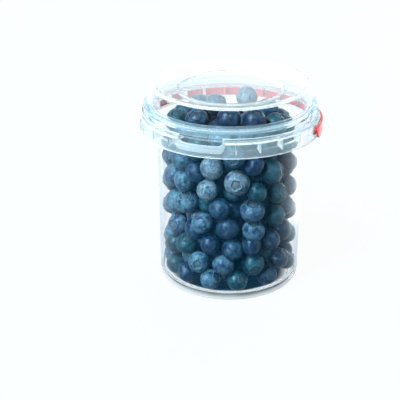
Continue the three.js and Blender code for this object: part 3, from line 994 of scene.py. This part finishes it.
def strap_section():
    """The strap cut across, as (outward, up) points, with a raised bead along each edge."""
    half = STRAP_H / 2
    hollow = STRAP_T - BEAD
    return rounded([
        (0, -half, 0.3), (STRAP_T, -half, 0.3), (STRAP_T, -half + 1.1, 0.25), (hollow, -half + 1.5, 0.25),
        (hollow, half - 1.5, 0.25), (STRAP_T, half - 1.1, 0.25), (STRAP_T, half, 0.3), (0, half, 0.3),
    ], steps=3)


def strap():
    work = bmesh.new()
    section = strap_section()
    rings = []
    for k in range(BEND_STEPS + 1):
        turn = math.pi * k / BEND_STEPS
        ring = []
        for out, up in section:
            r = (STRAP_R + out) * MM
            ring.append(work.verts.new((r * math.cos(turn), r * math.sin(turn), (PIVOT_Z + up) * MM)))
        rings.append(ring)
    for low, high in zip(rings, rings[1:]):
        for i in range(len(section)):
            j = (i + 1) % len(section)
            work.faces.new((low[i], low[j], high[j], high[i]))
    work.faces.new(rings[0])
    work.faces.new(rings[-1])
    bmesh.ops.recalc_face_normals(work, faces=work.faces)
    return new_object("red_handle", work)


def stud(side, radius, start, end, ease):
    """A round stud along X at one of the pivots, with eased rims, from start to end."""
    work = bmesh.new()
    outline = rounded([(0, start, 0), (radius, start, ease), (radius, end, ease), (0, end, 0)], steps=3)
    turn_outline(work, outline, STUD_STEPS)
    lie = Matrix.Translation((0, 0, PIVOT_Z * MM)) @ Matrix.Rotation(side * math.pi / 2, 4, "Y")
    bmesh.ops.transform(work, matrix=lie, verts=work.verts)
    bmesh.ops.recalc_face_normals(work, faces=work.faces)
    return new_object("stud", work)


def make_handle():
    handle = strap()
    handle.data.materials.append(red_plastic())
    for side in (-1, 1):
        combine(handle, stud(side, BOSS_R, STRAP_R + 0.1, STRAP_R + BOSS_T, 0.4), "UNION")
        combine(handle, stud(side, PIN_R, HEAD_X - 0.3, STRAP_R + 0.3, 0), "UNION")
        combine(handle, stud(side, HEAD_R, HEAD_X - HEAD_T, HEAD_X, 0.4), "UNION")
    finish_surface(handle)
    place_piece(handle, "handle", "red_plastic", "handle")


make_handle()

# ---- Studio ----
# A white floor and white surroundings that glow. Under the tub the floor's glow is painted shade, dark as
# deep shade is, and light that has lit something is dim and bluish. Four soft lights stand in front on the
# left, high and low, on the right, and behind.
RIGHT = (math.cos(CAMERA_TURN), math.sin(CAMERA_TURN), 0)
AWAY = (-math.sin(CAMERA_TURN), math.cos(CAMERA_TURN), 0)
RIGHT_AND_AWAY = tuple(0.8 * r + 0.6 * a for r, a in zip(RIGHT, AWAY))
WHITE_FLOOR = (0.99, 0.99, 0.98)
PAINTED_FLOOR_SHADE = (0.002, 0.014, 0.03)
FLOOR_SKIN = (0.004, 0.02, 0.035)
SURROUNDINGS = (0.95, 0.985, 1)
SHADE = (0.5, 0.8, 1)
GLOSS = (0.88, 0.96, 1)
# Metres: half the floor's side, and the radii between which its painted shade under the tub fades out
FLOOR_HALF = 6
SHADE_INNER_R = 0.034
SHADE_OUTER_R = 0.043
# Each soft light: its name, where it stands and aims, its width and height in metres, its watts, its colour
LIGHTS = (
    ("key", (-0.3, -0.58, 0.85), (0, 0, 0.09), (0.24, 0.24), 14, (1, 1, 1)),
    ("fill", (-0.28, -1, 0.5), (0, 0, 0.1), (0.4, 0.4), 9.5, (1, 1, 1)),
    ("side", (0.95, 0, 0.5), (0, 0, 0.1), (0.2, 0.3), 2.4, (0.85, 1, 1)),
    ("back", (0.35, 1.05, 0.4), (0, 0, 0.06), (0.5, 0.4), 3.5, (1, 1, 1)),
)


def area_light(name, place, aim, size, watts, colour):
    data = bpy.data.lights.new(name, "AREA")
    data.shape = "RECTANGLE"
    data.size, data.size_y = size
    data.energy = watts
    data.color = colour
    light = bpy.data.objects.new(name, data)
    light.location = place
    light.rotation_euler = (Vector(aim) - Vector(place)).to_track_quat("-Z", "Y").to_euler()
    bpy.context.collection.objects.link(light)


def along(steps, axis, coordinates, low, high, to_low, to_high):
    """A number that changes as a point or a direction goes along an axis from low to high."""
    reach = steps.add("VectorMath", {0: coordinates, 1: axis}, operation="DOT_PRODUCT")
    return steps.ranged(reach.outputs["Value"], low, high, to_low, to_high)


def tinted(steps, light_path, colour):
    """The colour of the light that is seen straight, in a reflection, and after it has lit something."""
    reflected = steps.colour_between(light_path["Glossy Depth"], colour, GLOSS)
    return steps.colour_between(light_path["Diffuse Depth"], reflected, SHADE)


def make_floor():
    work = bmesh.new()
    bmesh.ops.create_grid(work, x_segments=1, y_segments=1, size=FLOOR_HALF)
    floor = new_object("floor", work)
    material, steps, shader = new_material("light_table")
    place = steps.add("TexCoord").outputs["Object"]
    light_path = steps.add("LightPath").outputs
    from_axis = steps.add("VectorMath", {0: place}, operation="LENGTH").outputs["Value"]
    # Painted shade: the floor's glow goes dark under the tub, seen straight and in reflections
    clear_of_tub = steps.ranged(from_axis, SHADE_INNER_R, SHADE_OUTER_R)
    on_right = along(steps, RIGHT_AND_AWAY, place, 0.08, 0.15, 0.85, 2.2)
    behind = along(steps, AWAY, place, 0.05, 0.12, 0.85, 1.0)
    reflected = steps.number_between(clear_of_tub, 0.1, steps.maths("MAXIMUM", on_right, behind))
    glow = steps.number_between(light_path["Glossy Depth"], 0.955, reflected)
    white = steps.colour_between(clear_of_tub, PAINTED_FLOOR_SHADE, WHITE_FLOOR)
    steps.fill(shader, {
        "Base Color": FLOOR_SKIN,
        "Roughness": 0.7,
        "Specular IOR Level": 0.1,
        "Emission Color": tinted(steps, light_path, white),
        "Emission Strength": steps.number_between(light_path["Diffuse Depth"], glow, 0.1),
    })
    floor.data.materials.append(material)


def make_world():
    world = bpy.data.worlds.new("studio")
    steps = FinishSteps(world)
    facing = steps.add("TexCoord").outputs["Generated"]
    light_path = steps.add("LightPath").outputs
    reflected = along(steps, AWAY, facing, -0.3, 0.5, 0.9, 1.0)
    lighting = along(steps, AWAY, facing, -0.9, 0.2, 0.42, 0.1)
    glow = steps.number_between(light_path["Glossy Depth"], 1.0, reflected)
    steps.fill(steps.nodes["Background"], {
        "Color": tinted(steps, light_path, SURROUNDINGS),
        "Strength": steps.number_between(light_path["Diffuse Depth"], glow, lighting),
    })
    bpy.context.scene.world = world


def make_studio():
    make_floor()
    make_world()
    for light in LIGHTS:
        area_light(*light)
    scene = bpy.context.scene
    scene.view_settings.view_transform = "Standard"
    scene.cycles.use_denoising = True
    scene.cycles.max_bounces = 32
    scene.cycles.transmission_bounces = 32
    scene.cycles.transparent_max_bounces = 32
    scene.cycles.glossy_bounces = 8
    scene.cycles.diffuse_bounces = 4
    scene.cycles.caustics_reflective = False
    scene.cycles.caustics_refractive = False
    scene.cycles.sample_clamp_indirect = 6


make_studio()
